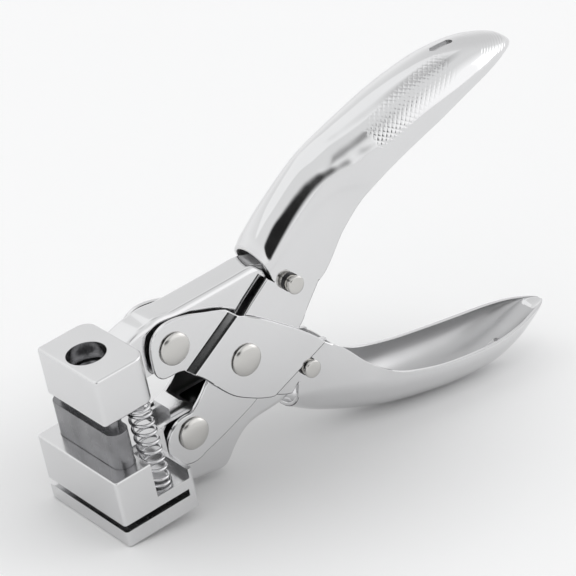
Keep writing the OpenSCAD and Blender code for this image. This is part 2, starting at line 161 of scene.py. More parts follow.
def prism(name, outline, lo, hi, axis="Z"):
    """Straight prism of a closed outline: in X-Y along Z, or in X-Z along Y."""
    n = len(outline)
    if axis == "Z":
        verts = [(x, y, lo) for x, y in outline] + [(x, y, hi) for x, y in outline]
    else:
        verts = [(x, lo, z) for x, z in outline] + [(x, hi, z) for x, z in outline]
    faces = [tuple(range(n - 1, -1, -1)), tuple(range(n, 2 * n))]
    faces += [(i, (i + 1) % n, n + (i + 1) % n, n + i) for i in range(n)]
    o = new_object(name, verts, faces)
    fix_normals(o)
    return o


def circle_points(cx, cy, r, n=64):
    return [(cx + r * math.cos(2 * math.pi * i / n), cy + r * math.sin(2 * math.pi * i / n)) for i in range(n)]


def arc_points(cx, cy, r, a0, a1, n):
    return [(cx + r * math.cos(math.radians(a0 + (a1 - a0) * i / n)),
             cy + r * math.sin(math.radians(a0 + (a1 - a0) * i / n))) for i in range(n + 1)]


def box(name, lo, hi):
    (x0, y0, z0), (x1, y1, z1) = lo, hi
    return prism(name, [(x0, y0), (x1, y0), (x1, y1), (x0, y1)], z0, z1)


def lathe(name, profile, steps=64):
    """Turns (radius, height) pairs round Z. The ends of the profile on the axis are closed by their point."""
    verts, faces, rows = [], [], []
    for r, h in profile:
        if r < 1e-6:
            rows.append([len(verts)])
            verts.append((0, 0, h))
        else:
            rows.append(list(range(len(verts), len(verts) + steps)))
            verts += [(r * math.cos(2 * math.pi * i / steps), r * math.sin(2 * math.pi * i / steps), h)
                      for i in range(steps)]
    for a, b in zip(rows, rows[1:]):
        for i in range(steps):
            j = (i + 1) % steps
            if len(a) == 1:
                faces.append((a[0], b[i], b[j]))
            elif len(b) == 1:
                faces.append((a[i], a[j], b[0]))
            else:
                faces.append((a[i], a[j], b[j], b[i]))
    o = new_object(name, verts, faces)
    fix_normals(o)
    return o


def spline(points, steps):
    """Catmull-Rom curve through the points, which may have any number of columns."""
    p = np.array(points, float)
    out = []
    n = len(p)
    for i in range(n - 1):
        p0, p1, p2, p3 = p[max(i - 1, 0)], p[i], p[i + 1], p[min(i + 2, n - 1)]
        for k in range(steps):
            t = k / steps
            out.append(0.5 * (2 * p1 + (p2 - p0) * t + (2 * p0 - 5 * p1 + 4 * p2 - p3) * t * t
                              + (3 * p1 - p0 - 3 * p2 + p3) * t ** 3))
    out.append(p[-1])
    return np.array(out)


# ------------------------------------------------------------------ materials
def add_noise(tree, vector, scale, detail):
    """Noise texture read along a vector output; gives its value output."""
    node = tree.nodes.new("ShaderNodeTexNoise")
    node.inputs["Scale"].default_value = scale
    node.inputs["Detail"].default_value = detail
    tree.links.new(vector, node.inputs["Vector"])
    return node.outputs["Fac"]


def material(name, color, metallic, rough, sheen_scale, bump, wear, wear_scale=40.0, streak=(1, 1, 1)):
    """Metal with uneven sheen, small dents or grain, and a slow change of tone where it has been handled.

    rough is the least and greatest roughness, bump the scale, strength and distance of the dents, wear how much
    darker the handled places are, and streak stretches the sheen and the dents along an axis."""
    m = bpy.data.materials.new(name)
    m.use_nodes = True
    tree = m.node_tree
    tree.nodes.clear()
    out = tree.nodes.new("ShaderNodeOutputMaterial")
    shader = tree.nodes.new("ShaderNodeBsdfPrincipled")
    shader.inputs["Metallic"].default_value = metallic
    tree.links.new(shader.outputs["BSDF"], out.inputs["Surface"])
    coord = tree.nodes.new("ShaderNodeTexCoord").outputs["Object"]
    mapping = tree.nodes.new("ShaderNodeMapping")
    mapping.inputs["Scale"].default_value = streak
    tree.links.new(coord, mapping.inputs["Vector"])
    stretched = mapping.outputs["Vector"]

    sheen = tree.nodes.new("ShaderNodeMapRange")
    sheen.inputs["From Min"].default_value = 0.3
    sheen.inputs["From Max"].default_value = 0.7
    sheen.inputs["To Min"].default_value = rough[0]
    sheen.inputs["To Max"].default_value = rough[1]
    tree.links.new(add_noise(tree, stretched, sheen_scale, 5), sheen.inputs["Value"])
    tree.links.new(sheen.outputs["Result"], shader.inputs["Roughness"])

    ramp = tree.nodes.new("ShaderNodeValToRGB")
    handled, fresh = ramp.color_ramp.elements
    handled.position, fresh.position = 0.3, 0.7
    handled.color = [c * (1 - wear) for c in color] + [1]
    fresh.color = list(color) + [1]
    tree.links.new(add_noise(tree, coord, wear_scale, 3), ramp.inputs["Fac"])
    tree.links.new(ramp.outputs["Color"], shader.inputs["Base Color"])

    dents = tree.nodes.new("ShaderNodeBump")
    dents.inputs["Strength"].default_value = bump[1]
    dents.inputs["Distance"].default_value = bump[2]
    tree.links.new(add_noise(tree, stretched, bump[0], 4), dents.inputs["Height"])
    tree.links.new(dents.outputs["Normal"], shader.inputs["Normal"])
    return m


CHROME = material("chrome_sheet", (0.735, 0.735, 0.74), 1.0, (0.06, 0.13), 60, (90, 0.05, 0.0002), 0.03)
BLOCK = material("chrome_block", (0.74, 0.74, 0.745), 1.0, (0.16, 0.25), 90, (700, 0.05, 0.00005), 0.04)
RIVET = material("nickel_rivet", (0.62, 0.61, 0.59), 1.0, (0.16, 0.26), 200, (900, 0.06, 0.00005), 0.06)
PLATED = material("plated_hardware", (0.66, 0.66, 0.67), 1.0, (0.25, 0.40), 250, (900, 0.10, 0.0001), 0.10)
WIRE = material("spring_wire", (0.64, 0.64, 0.65), 1.0, (0.08, 0.18), 300, (900, 0.10, 0.0001), 0.08)
SATIN = material("satin_sheet", (0.50, 0.50, 0.505), 1.0, (0.26, 0.38), 60, (300, 0.06, 0.0001), 0.05)
# Near-black material for the handles' downward-facing rounded edges: painted shade, standing for their dark
# reflection of the shaded ground
EDGE = material("edge_painted_shade", (0.16, 0.16, 0.165), 1.0, (0.25, 0.40), 200, (300, 0.06, 0.0001), 0.1)
# Near-black material for the slide pins' washers: painted shade, standing for the dark ring of shadow and
# reflection round the pin heads
WASHER_SHADE = material("washer_painted_shade", (0.05, 0.05, 0.052), 0.9, (0.30, 0.45), 300, (900, 0.10, 0.00005), 0.2)
TOOL = material("hardened_steel", (0.29, 0.29, 0.30), 0.95, (0.20, 0.32), 220, (260, 0.05, 0.0001), 0.3,
                wear_scale=160, streak=(1, 1, 0.05))


def finish_piece(o, mat, body, *replaced):
    o.data.materials.clear()
    o.data.materials.append(mat)
    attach(o, body)
    if replaced:
        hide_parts(*replaced)
    return o


# ------------------------------------------------------------------ CAD nodes shown as they are
CAD_LOOK = {
    "lower_block": BLOCK, "die_plate": TOOL, "die_screws": PLATED, "lower_arm": CHROME,
    "lower_arm_dowel": PLATED, "lower_front_rivet": RIVET, "spring_left": WIRE, "spring_right": WIRE,
    "lower_spring_pegs": PLATED, "upper_handle": CHROME, "upper_slide_pin": RIVET,
    "upper_slide_washers": WASHER_SHADE, "pivot_rivet": RIVET, "pivot_spacer": PLATED, "lower_handle": CHROME,
    "lower_slide_pin": RIVET, "lower_slide_washers": WASHER_SHADE, "upper_arm": CHROME, "upper_block": BLOCK,
    "punch": TOOL, "punch_screw": TOOL, "punch_washer": PLATED, "upper_arm_dowel": PLATED,
    "upper_front_rivet": RIVET, "upper_spring_pegs": PLATED,
}
for node_name, look in CAD_LOOK.items():
    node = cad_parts[node_name]
    node.data.materials.clear()
    node.data.materials.append(look)

# ------------------------------------------------------------------ pressed handles
# Stations along each grip: ridge x, ridge z, rim x, rim z, half width, depth of the round back
WALL_W = CHEEK_OUT - 0.02
UPPER_GRIP = [
    (57.7, 56.8, 61.5, 43, WALL_W, 6.4), (66.5, 65, 75.8, 39.3, WALL_W, 9.6),
    (79, 73.7, 87.3, 50.6, WALL_W + 0.2, 12.3), (86.8, 77, 94.4, 57, 8.8, 12.6),
    (95, 79.1, 100.2, 61, 10.2, 12.8), (103.5, 81.1, 107, 64.4, 11.2, 12.8),
    (113.4, 83.3, 115.4, 67.6, 11.8, 12.4), (124.2, 85, 125.3, 70.6, 12, 11.8),
    (135, 85.8, 135.2, 73.6, 11.7, 10.6), (145.5, 85.1, 145.5, 75.6, 10.2, 8.2),
    (153.1, 83.2, 152.7, 76.4, 8, 5.6), (158.7, 80.9, 158.2, 76.7, 5.4, 3.4),
    (161.8, 78.4, 161.4, 76.4, 3.1, 1.6), (163.3, 76.6, 163, 75.8, 1.0, 0.5),
]
LOWER_GRIP = [
    (59.4, 1.2, 63, 15, WALL_W, 6.4), (68, -5, 75.5, 17, WALL_W, 9.6),
    (79, -10.9, 86.3, 5.2, 8.8, 11.6), (87.2, -14.2, 91.4, 0.4, 10.6, 11.8),
    (94, -16.6, 96.5, -2.9, 11.7, 11.8), (103, -19, 103.4, -5.7, 12.3, 12),
    (113, -21.2, 112.5, -8.5, 12.6, 11.8), (124, -22.9, 123.5, -10.8, 12.4, 11.4),
    (134, -23.2, 134.5, -12.5, 11.6, 10), (144, -21.1, 144.5, -13.2, 9.7, 7.5),
    (151, -18.4, 151.2, -13.5, 7.4, 4.6), (156, -16.5, 156.2, -14.1, 5, 2.3),
    (159, -15.6, 159.2, -14.6, 2.8, 0.9), (160.6, -15.2, 160.7, -14.9, 1.0, 0.3),
]
# How far the sheet's edges are rounded, the share of a narrow gap that this may take, and the number of edges
# over which it eases in
EDGE_ROUND = 0.36
GAP_SHARE = 0.4
EASE_EDGES = 5
# Places of the handles' materials in their lists
OUTSIDE_AT, INSIDE_AT, EDGE_AT = 0, 1, 2
# Numbers of steps over a section's wall and round back, outside and inside the sheet
N_WALL = (24, 6) if FULL else (8, 4)
N_CAP = (76, 12) if FULL else (20, 8)


def grip_stations(grip, spans):
    """Stations along the grip and their distance along it. spans gives how many there are up to each ridge X."""
    curve = spline(grip, 24)
    d = np.concatenate([[0], np.cumsum(np.linalg.norm(np.diff(curve[:, :2], axis=0), axis=1))])
    t, start = [], 0.0
    for to_x, n in spans:
        stop = float(np.interp(to_x, curve[:, 0], d))
        if not FULL:
            n = max(n // 3, 6)
        t += list(np.linspace(start, stop, n, endpoint=False))
        start = stop
    t = np.array(t + [d[-1]])
    return np.stack([np.interp(t, d, curve[:, k]) for k in range(curve.shape[1])], axis=1), t


def grip_section(st, inset):
    """Half of a section from ridge to rim on the +Y side, with its normals and its distance from the ridge."""
    ridge, rim, w, cap = st[0:2], st[2:4], st[4], st[5]
    depth = np.linalg.norm(ridge - rim)
    up = (ridge - rim) / depth
    cap = min(cap, depth * 0.97)
    wall = depth - cap
    if inset:
        t = min(SHEET, w * 0.55, depth * 0.6)
        w, cap = w - t, max(cap - t, cap * 0.2)
    n_wall, n_cap = N_WALL[inset], N_CAP[inset]
    a = np.linspace(0, math.pi / 2, n_cap + 1)
    y = np.concatenate([w * np.sin(a), np.full(n_wall, w)])
    h = np.concatenate([wall + cap * np.cos(a), wall * (1 - np.arange(1, n_wall + 1) / n_wall)])
    ny = np.concatenate([np.sin(a) / w, np.ones(n_wall)])
    nh = np.concatenate([np.cos(a) / cap, np.zeros(n_wall)])
    ln = np.hypot(ny, nh)
    ny, nh = ny / ln, nh / ln
    run = np.concatenate([[0], np.cumsum(np.hypot(np.diff(y), np.diff(h)))])
    pts = np.stack([rim[0] + up[0] * h, y, rim[1] + up[1] * h], axis=1)
    nrm = np.stack([up[0] * nh, ny, up[1] * nh], axis=1)
    return pts, nrm, run


def fade(x, lo, hi):
    t = np.clip((np.asarray(x, float) - lo) / (hi - lo), 0, 1)
    return t * t * (3 - 2 * t)


def knurl(s, t, pitch):
    """Rows of small raised diamonds with narrow grooves between them, from 0 in a groove to 1 on top."""
    u = (s + t) / pitch % 1.0
    v = (s - t) / pitch % 1.0
    groove = np.minimum(np.minimum(u, 1 - u), np.minimum(v, 1 - v))
    return np.clip(groove / 0.2, 0, 1)


def strip(faces, a, b):
    """Faces between two rows of points, which may differ in number."""
    i = j = 0
    done = 9.0
    while i < len(a) - 1 or j < len(b) - 1:
        ta = (i + 1) / (len(a) - 1) if i < len(a) - 1 else done
        tb = (j + 1) / (len(b) - 1) if j < len(b) - 1 else done
        if abs(ta - tb) < 1e-9:
            faces.append((a[i], a[i + 1], b[j + 1], b[j]))
            i, j = i + 1, j + 1
        elif ta < tb:
            faces.append((a[i], a[i + 1], b[j]))
            i += 1
        else:
            faces.append((a[i], b[j + 1], b[j]))
            j += 1


def build_handle(name, grip, spans, covered_x, chain, plates, relief, folds=()):
    """Pressed handle: round-backed grip, cheeks and the sheet's edge all round.

    covered_x is the rim X up to which the cheek continues below the grip. The cheek's front edge meets the grip's
    front end half way up its wall. chain is the cheek's free edge as (x, z, level), from the rim to the grip's
    front end, and plates its faces, each a list of chain numbers in which "S" is the row shared with the grip.
    folds are the pairs of chain numbers between which the sheet is bent."""
    stations, run_s = grip_stations(grip, spans)
    verts, faces, sharp = [], [], {}
    outer, inner = [], []
    free_o, free_i = N_WALL[0] // 2, N_WALL[1] // 2

    def add(p):
        verts.append(tuple(float(c) for c in p))
        return len(verts) - 1

    def row(pts):
        near = [add((p[0], -p[1], p[2])) for p in pts[::-1]]
        return near + [add(p) for p in pts[1:]]

    for st, s in zip(stations, run_s):
        pts, nrm, run = grip_section(st, 0)
        outer.append(row(pts + nrm * relief(pts, s, run)[:, None]))
        inner.append(row(grip_section(st, 1)[0]))
    no, ni, last = len(outer[0]), len(inner[0]), len(stations) - 1
    for i in range(last):
        for j in range(no - 1):
            faces.append((outer[i][j], outer[i][j + 1], outer[i + 1][j + 1], outer[i + 1][j]))
        for j in range(ni - 1):
            faces.append((inner[i][j], inner[i + 1][j], inner[i + 1][j + 1], inner[i][j + 1]))
    k = int(np.searchsorted(stations[:, 2], covered_x))

    def mark(line, room=None, ease_start=False, ease_end=False):
        """Rounds the edges along a line. room is the space that each has to its next line, where that is small.
        The rounding starts or ends gently where the line runs on as a seam within the sheet."""
        for n, e in enumerate(zip(line, line[1:])):
            share = 1.0 if room is None else min(1.0, GAP_SHARE * room[n] / EDGE_ROUND)
            if ease_start:
                share *= min(1.0, n / EASE_EDGES)
            if ease_end:
                share *= min(1.0, (len(line) - 2 - n) / EASE_EDGES)
            sharp[frozenset(e)] = share

    for side in (0, 1):
        def at(r, j, side=side):
            return r[j] if side == 0 else r[len(r) - 1 - j]
        sign = -1 if side == 0 else 1
        shared_o = [at(outer[0], j) for j in range(free_o, -1, -1)] + [at(outer[i], 0) for i in range(1, k + 1)]
        shared_i = [at(inner[0], j) for j in range(free_i, -1, -1)] + [at(inner[i], 0) for i in range(1, k + 1)]
        out_y = [WALL_W + lv * (RAISED_OUT - WALL_W) for _, _, lv in chain]
        chain_o = [add((c[0], sign * y, c[1])) for c, y in zip(chain, out_y)]
        chain_i = [add((c[0], sign * (y - SHEET), c[1])) for c, y in zip(chain, out_y)]
        for plate in plates:
            for shared, pts in ((shared_o, chain_o), (shared_i, chain_i)):
                ring = []
                for p in plate:
                    ring += shared if p == "S" else [pts[p]]
                faces.append(tuple(ring))
        edge_o = [shared_o[-1]] + chain_o + [shared_o[0]]
        edge_i = [shared_i[-1]] + chain_i + [shared_i[0]]
        strip(faces, edge_o, edge_i)
        rim_o = [at(outer[i], 0) for i in range(k, last + 1)]
        rim_i = [at(inner[i], 0) for i in range(k, last + 1)]
        strip(faces, rim_o, rim_i)
        for r in (edge_o, edge_i):
            mark(r)
        for r, shell in ((rim_o, outer), (rim_i, inner)):
            room = [min(math.dist(verts[at(shell[i], 0)], verts[at(shell[i], 1)]),
                        math.dist(verts[p], verts[q]))
                    for i, p, q in zip(range(k, last + 1), rim_o, rim_i)]
            mark(r, room[1:], ease_start=True)
        for p, q in folds:
            mark((chain_o[p], chain_o[q]))
    front_o = outer[0][free_o:no - free_o]
    front_i = inner[0][free_i:ni - free_i]
    strip(faces, front_o, front_i)
    strip(faces, outer[last], inner[last])
    for r in (front_o, front_i):
        mark(r, ease_start=True, ease_end=True)
    o = new_object(name, verts, faces)
    fix_normals(o)
    weight = o.data.attributes.new("bevel_weight_edge", "FLOAT", "EDGE")
    values = [sharp.get(frozenset(e.vertices), 0.0) for e in o.data.edges]
    weight.data.foreach_set("value", values)
    for mat in (CHROME, SATIN, EDGE):
        o.data.materials.append(mat)
    m = bevel(o, EDGE_ROUND, 3)
    m.limit_method = "WEIGHT"
    m.use_clamp_overlap = False
    m.material = EDGE_AT
    return o


# Limits on a face's normal that tell the edges painted dark as shade, inner faces and cut ends apart, and where a
# grip's tip begins
SHADE_BELOW = -0.15
INWARD = -0.35
SIDEWAYS = 0.3
TIP_X = 150


def finish_handle(o, grip, body, node_name):
    """Polished outside and satin inside: the inside is every face that looks at the middle of its own section.

    The sheet's rounded edges that face down get a dark material: painted shade, for the dark reflection of the
    shaded ground below the tool. Cut ends that face along the grip stay polished, except at its tip."""
    rounded = [f.material_index == EDGE_AT for f in o.data.polygons]
    finish_piece(o, CHROME, body, node_name)
    o.data.materials.append(SATIN)
    o.data.materials.append(EDGE)
    middles = np.array([((g[0] + g[2]) / 2, (g[1] + g[3]) / 2) for g in spline(grip, 8)])
    grip_start = middles[0][0] + 3
    back = TO_FRAME.inverted()
    turn = back.to_3x3().normalized()
    for f, on_edge in zip(o.data.polygons, rounded):
        c, n = back @ f.center, turn @ f.normal
        if on_edge:
            # Rounded edges that face down get the dark material as painted shade
            f.material_index = EDGE_AT if n.z < SHADE_BELOW else OUTSIDE_AT
            continue
        away = Vector((0, c.y, 0))
        if c.x > grip_start:
            middle = middles[np.argmin(np.abs(middles[:, 0] - c.x))]
            away = Vector((c.x - middle[0] + 4, c.y, c.z - middle[1]))
        if away.normalized().dot(n) < INWARD and (abs(n.y) + abs(n.z) > SIDEWAYS or c.x > TIP_X):
            f.material_index = INSIDE_AT


def hanging_slot(name, centre, turn_deg):
    """Cutter for a hanging slot: upright prism, turned about Y, at a point of the middle plane."""
    half, r = 3.0, 1.3
    outline = arc_points(half, 0, r, -90, 90, 12) + arc_points(-half, 0, r, 90, 270, 12)
    o = prism(name, outline, -5, 5)
    turn = Matrix.Rotation(math.radians(turn_deg), 4, "Y")
    o.data.transform(Matrix.Translation((centre[0], 0, centre[1])) @ turn)
    return o


def chain_of(*parts):
    out = []
    for part in parts:
        out += [tuple(p) for p in part]
    return out


def level(points, lv):
    return [(float(p[0]), float(p[1]), lv) for p in points]


# The line, as (x, z), where the flat cheek ends and the pressed back of the upper grip begins
CREASE = ((60.7, 50.5), (67.9, 54.9), (74.7, 58.5), (79.4, 60.7), (84.1, 62.3), (88.5, 62.6), (93.7, 61.4),
          (98.8, 59))
KNURL_PITCH, KNURL_DEPTH = 2.0, 0.07
RIB_PITCH, RIB_BEND = 1.15, 0.05


def crease(pts):
    """How far the pressed back stands out above the line where the flat cheek ends."""
    x = pts[:, 0]
    over = (pts[:, 2] - np.interp(x, [c[0] for c in CREASE], [c[1] for c in CREASE])) * 0.85
    share = fade(x, 58, 61) * (1 - fade(x, 93, 100))
    return 0.42 * share * np.clip(over, 0, 2.2) / 2.2 * (1 - fade(over, 5, 12))


def rib_wave(s, t):
    """Fine ribs across the tip, bent back a little towards the rim, from 0 to 1."""
    return 0.5 + 0.5 * np.cos(2 * np.pi * (s + RIB_BEND * t ** 2) / RIB_PITCH)


def upper_relief(pts, s, t):
    """Crease, knurled field and ribs. t is the distance from the ridge; the field's borders lean with it."""
    x = pts[:, 0]
    along = fade(x - 100.5 - 0.31 * (t - 8), 0, 1.5) * (1 - fade(x, 131, 137))
    field = along * fade(t - 6.2 + 0.118 * (x - 101.9), 0, 1.4) * (1 - fade(t - 16.8 + 0.17 * (x - 103.8), 0, 2))
    ribs = fade(x, 146.5, 147.5) * (1 - fade(x, 157.5, 159)) * (1 - fade(t, 8, 10.5))
    grooves = KNURL_DEPTH * field * (1 - knurl(s, t, KNURL_PITCH))
    return crease(pts) - grooves - 0.085 * ribs * rib_wave(s, t)


def lower_relief(pts, s, t):
    x = pts[:, 0]
    field = fade(x, 101, 104) * (1 - fade(x, 124, 127)) * fade(t, 3.5, 5) * (1 - fade(t, 13, 15))
    ribs = fade(x, 148, 149) * (1 - fade(x, 155, 156)) * (1 - fade(t, 5, 7))
    grooves = KNURL_DEPTH * field * (1 - knurl(s, t, KNURL_PITCH))
    return -grooves - 0.06 * ribs * rib_wave(s, t)


upper_chain = chain_of(
    level(spline([(75.8, 39.3), (70.3, 33.0), (66.7, 28.6), (56.5, 20.4), (46.8, 13.4), (41.3, 11.0), (33.1, 8.1),
                  (26.2, 6.1)], 6)[1:-1], 0),
    level(arc_points(22.3, 13.1, 8.0, -62, -282, 30), 0),
    level(spline([(24.4, 21.1), (26.7, 22.7), (29.2, 25.0), (31.8, 27.7), (40.5, 34.9), (49.6, 42.6),
                  (54.0, 45.8), (59.65, 49.6)], 4)[1:-1], 0))
upper_spans = ((99, 52), (137, 222), (146, 14), (159, 62), (163, 10))
upper_handle = build_handle("grip_upper", UPPER_GRIP, upper_spans, 75.8, upper_chain,
                            [["S"] + list(range(len(upper_chain)))], upper_relief)
hang_upper = hanging_slot("slot_a", (138.4, 85.4), 2)
cut(upper_handle, hang_upper, solver="MANIFOLD")
finish_handle(bake(upper_handle, [hang_upper]), UPPER_GRIP, "upper_handle", "upper_handle")

# The pressed step of the lower handle's cheeks, from the front lobe up to the raised plate, at its two ends
STEP_TOP = ((43.3, 46.1), (45.5, 43.9))
STEP_LOW = ((25.2, 35.2), (27.4, 33.1))
FOOT_BEND, TOP_BEND = 0.2, 0.33


def step_rise(u):
    """Height of the pressed step across its width, with a small bend at the foot and a wider one at the top."""
    slope = 1 / (1 - FOOT_BEND / 2 - TOP_BEND / 2)
    if u < FOOT_BEND:
        return slope * u * u / (2 * FOOT_BEND)
    if u < 1 - TOP_BEND:
        return slope * (u - FOOT_BEND / 2)
    return 1 - slope * (1 - u) ** 2 / (2 * TOP_BEND)


def step_line(ends, u_list):
    (x0, z0), (x1, z1) = ends
    return [(x0 + u * (x1 - x0), z0 + u * (z1 - z0), step_rise(u)) for u in u_list]


STEP_U = (0.95, 0.9, 0.83, 0.75, 0.67, 0.6, 0.45, 0.3, 0.2, 0.15, 0.1, 0.05)
top_edge = level(spline([(72.6, 20.1), (70.2, 23.2), (65.6, 27.9), (59.7, 33.1), (53.4, 38.4), (47.4, 42.7),
                         STEP_TOP[1]], 4), 1)
step_top = step_line(STEP_TOP, STEP_U)
lobe = level(spline([STEP_TOP[0], (41.0, 47.2), (35.8, 49.2), (29.7, 51.6), (24.2, 52.7), (20.2, 52.1),
                     (17.4, 50.0), (16.0, 46.6), (15.7, 42.3), (15.9, 38.8), (17.6, 36.5), (20.2, 35.9),
                     (23.0, 35.8), STEP_LOW[0]], 4), 0)
step_low = step_line(STEP_LOW, STEP_U[::-1])
bottom_edge = level(spline([STEP_LOW[1], (29.5, 31.0), (31.5, 28.5), (35.2, 23.4), (39.2, 19.2), (45.6, 15.0),
                            (50.2, 12.8), (52.0, 12.4)], 4), 1)
rear_top = level([(73.2, 19.3)], 0)
rear_low = level([(52.6, 11.7), (54.6, 10.4), (56.8, 9.3), (59.0, 8.5)], 0)
lower_chain = chain_of(rear_top, top_edge, step_top, lobe, step_low, bottom_edge, rear_low)
i_top = len(rear_top)
i_step = i_top + len(top_edge)
i_lobe = i_step + len(step_top)
i_back = i_lobe + len(lobe)
i_bottom = i_back + len(step_low)
i_rear = i_bottom + len(bottom_edge)
lower_plates = [
    ["S", 0] + list(range(i_rear, len(lower_chain))),
    [0, i_top, i_rear - 1, i_rear],
    list(range(i_top, i_step)) + list(range(i_bottom, i_rear)),
    list(range(i_lobe, i_back)),
]
near_line = list(range(i_step - 1, i_lobe + 1))
far_line = list(range(i_bottom, i_back - 2, -1))
for near, far in zip(zip(near_line, near_line[1:]), zip(far_line, far_line[1:])):
    lower_plates.append([near[0], near[1], far[1], far[0]])
lower_spans = ((99, 44), (128, 130), (147, 26), (157, 44), (160, 12))
lower_handle = build_handle("grip_lower", LOWER_GRIP, lower_spans, 75.5, lower_chain, lower_plates, lower_relief,
                            ((0, i_rear), (i_top, i_rear - 1)))
hang_lower = hanging_slot("slot_b", (138.0, -22.8), -2)
lower_cutters = [hang_lower]
for i, s in enumerate((-1, 1)):
    # Room inside the cheek for the slide pin and its washer
    lo, hi = sorted((s * (CHEEK_OUT + 0.02), s * 12))
    lower_cutters.append(prism("pin_room_%d" % i, circle_points(*SLIDE_LOW, 3.3, 48), lo, hi, "Y"))
cut(lower_handle, *lower_cutters, solver="MANIFOLD")
finish_handle(bake(lower_handle, lower_cutters), LOWER_GRIP, "lower_handle", "lower_handle")


# ------------------------------------------------------------------ channel arms
FOLD_IN = 0.4
ARM_TAIL = SLIDE_UP[0] + TRAVEL + 2.5 + 3.1
UP_OPEN = 38
LOW_OPEN = 2 * PIVOT[1] - UP_OPEN - 0.2


def channel_path(x, half, open_z, fold_z, ry, rz):
    """One path round a channel's section at x, with its fold rounded by ry across and rz in height."""
    corner = []
    for a in np.linspace(0, math.pi / 2, 7):
        corner.append((half - ry * (1 - math.cos(a)), fold_z - rz * (1 - math.sin(a))))
    wall = [(half, open_z)] + corner
    return [(x, -y, z) for y, z in wall] + [(x, y, z) for y, z in wall[::-1]]


def channel_ring(x, fold_z, open_z, ry, rz):
    """One section of a channel at x, outer path then inner path back. It opens towards open_z."""
    s = 1 if fold_z > open_z else -1
    out = channel_path(x, ARM_OUT, open_z, fold_z, ry, s * rz)
    back = channel_path(x, ARM_IN, open_z, fold_z - s * SHEET, FOLD_IN, s * FOLD_IN)
    return out + back[::-1]


def channel(name, stations, ry, rz):
    """Channel from sections (x, fold z, open z)."""
    rings = [channel_ring(x, f, o, ry, rz) for x, f, o in stations]
    n = len(rings[0])
    verts = [p for r in rings for p in r]
    faces = []
    for i in range(len(rings) - 1):
        for j in range(n):
            a, b = i * n + j, i * n + (j + 1) % n
            faces.append((a, b, b + n, a + n))
    faces += [tuple(range(n)), tuple(range((len(rings) - 1) * n, len(rings) * n))[::-1]]
    o = new_object(name, verts, faces)
    fix_normals(o)
    return o


def build_arm(name, line, rz, slide, slot_name, body, node_name):
    """Arm with its slot, in which the slide pin runs with a little play at each end."""
    arm = channel(name, line, 1.8, rz)
    outline = (arc_points(slide[0] + TRAVEL + SLOT_PLAY, slide[1], SLOT_R, -90, 90, 16)
               + arc_points(slide[0] - SLOT_PLAY, slide[1], SLOT_R, 90, 270, 16))
    slot = prism(slot_name, outline, -9, 9, "Y")
    cut(arm, slot)
    bevel(arm, 0.22, 2, 50)
    finish_piece(bake(arm, [slot], 40), CHROME, body, node_name)


up_fold = ((9.2, 51.2), (11.5, 52.2), (15, 53.1), (18, 53.5), (21, 54.0), (24, 53.8), (27.5, 53.3), (36, 53.2),
           (48, 53.2), (56, 53.2), (61, 51.8))
up_line = [(x, z, UP_OPEN) for x, z in up_fold] + [(68, 50.2, 38.6), (ARM_TAIL, 47.2, 40.4)]
build_arm("arm_upper", spline(up_line, 4), 2.4, SLIDE_UP, "slot_c", "upper_jaw", "upper_arm")

low_fold = ((13.78, -1.5), (18, -2.2), (22.1, -2.9), (27, -3.8), (31, -4.5), (33.5, -4.3), (35.4, -2.8),
            (37.6, -0.2), (40.6, 2.5), (43.5, 4.2), (47.8, 5.1), (56, 5.5), (61, 6.9), (68, 8.4))
low_line = [(x, z, LOW_OPEN) for x, z in low_fold] + [(ARM_TAIL, 11.4, 18.2)]
build_arm("arm_lower", spline(low_line, 5), 2.0, SLIDE_LOW, "slot_d", "lower_jaw", "lower_arm")


# ------------------------------------------------------------------ blocks
def block_outline(reach, half_w, r0, r1):
    """Rectangle with its front corners rounded by r0 and its rear ones by r1."""
    x0, x1 = reach
    return (arc_points(x1 - r1, half_w - r1, r1, 0, 90, 10)
            + arc_points(x0 + r0, half_w - r0, r0, 90, 180, 8)
            + arc_points(x0 + r0, -half_w + r0, r0, 180, 270, 8)
            + arc_points(x1 - r1, -half_w + r1, r1, 270, 360, 10))


def hang_hole(grow, n=10):
    """Outline of the hang-hole slot, grown by a margin."""
    slot_x, slot_r, slot_end = -3.5, 3.5 + grow, 12.5
    bump_r = 5.2 + grow
    a = math.degrees(math.acos((slot_x + slot_r) / bump_r))
    pts = arc_points(slot_x, slot_end, slot_r, 0, 180, 2 * n)
    pts += arc_points(slot_x, -slot_end, slot_r, 180, 360, 2 * n)
    return pts + arc_points(0, 0, bump_r, -a, a, 2 * n)


upper = prism("block_upper", block_outline(UPPER_X, UPPER_HALF, 1.3, 4.4), *UPPER_Z)
bevel(upper, 0.8, 4, 30)
tongue = prism("tongue_upper", [(8.7, 39), (19.5, 39), (19.5, 35.4), (27.6, 35.4), (28, 39), (28, 49.5),
                                (8.7, 49.5)], -TONGUE_HALF, TONGUE_HALF, "Y")
boolean(upper, tongue, "UNION")
well = prism("well", circle_points(0, 0, WELL_R, 96), WELL_FLOOR, 60)
bore = prism("bore", circle_points(0, 0, 2.7, 48), 30, 45)
root = prism("root", hang_hole(-2.18), 30, 39.62)
cut(upper, well, bore, root)
bevel(upper, 0.28, 3, 50)
finish_piece(bake(upper, [tongue, well, bore, root], 40), BLOCK, "upper_jaw", "upper_block")

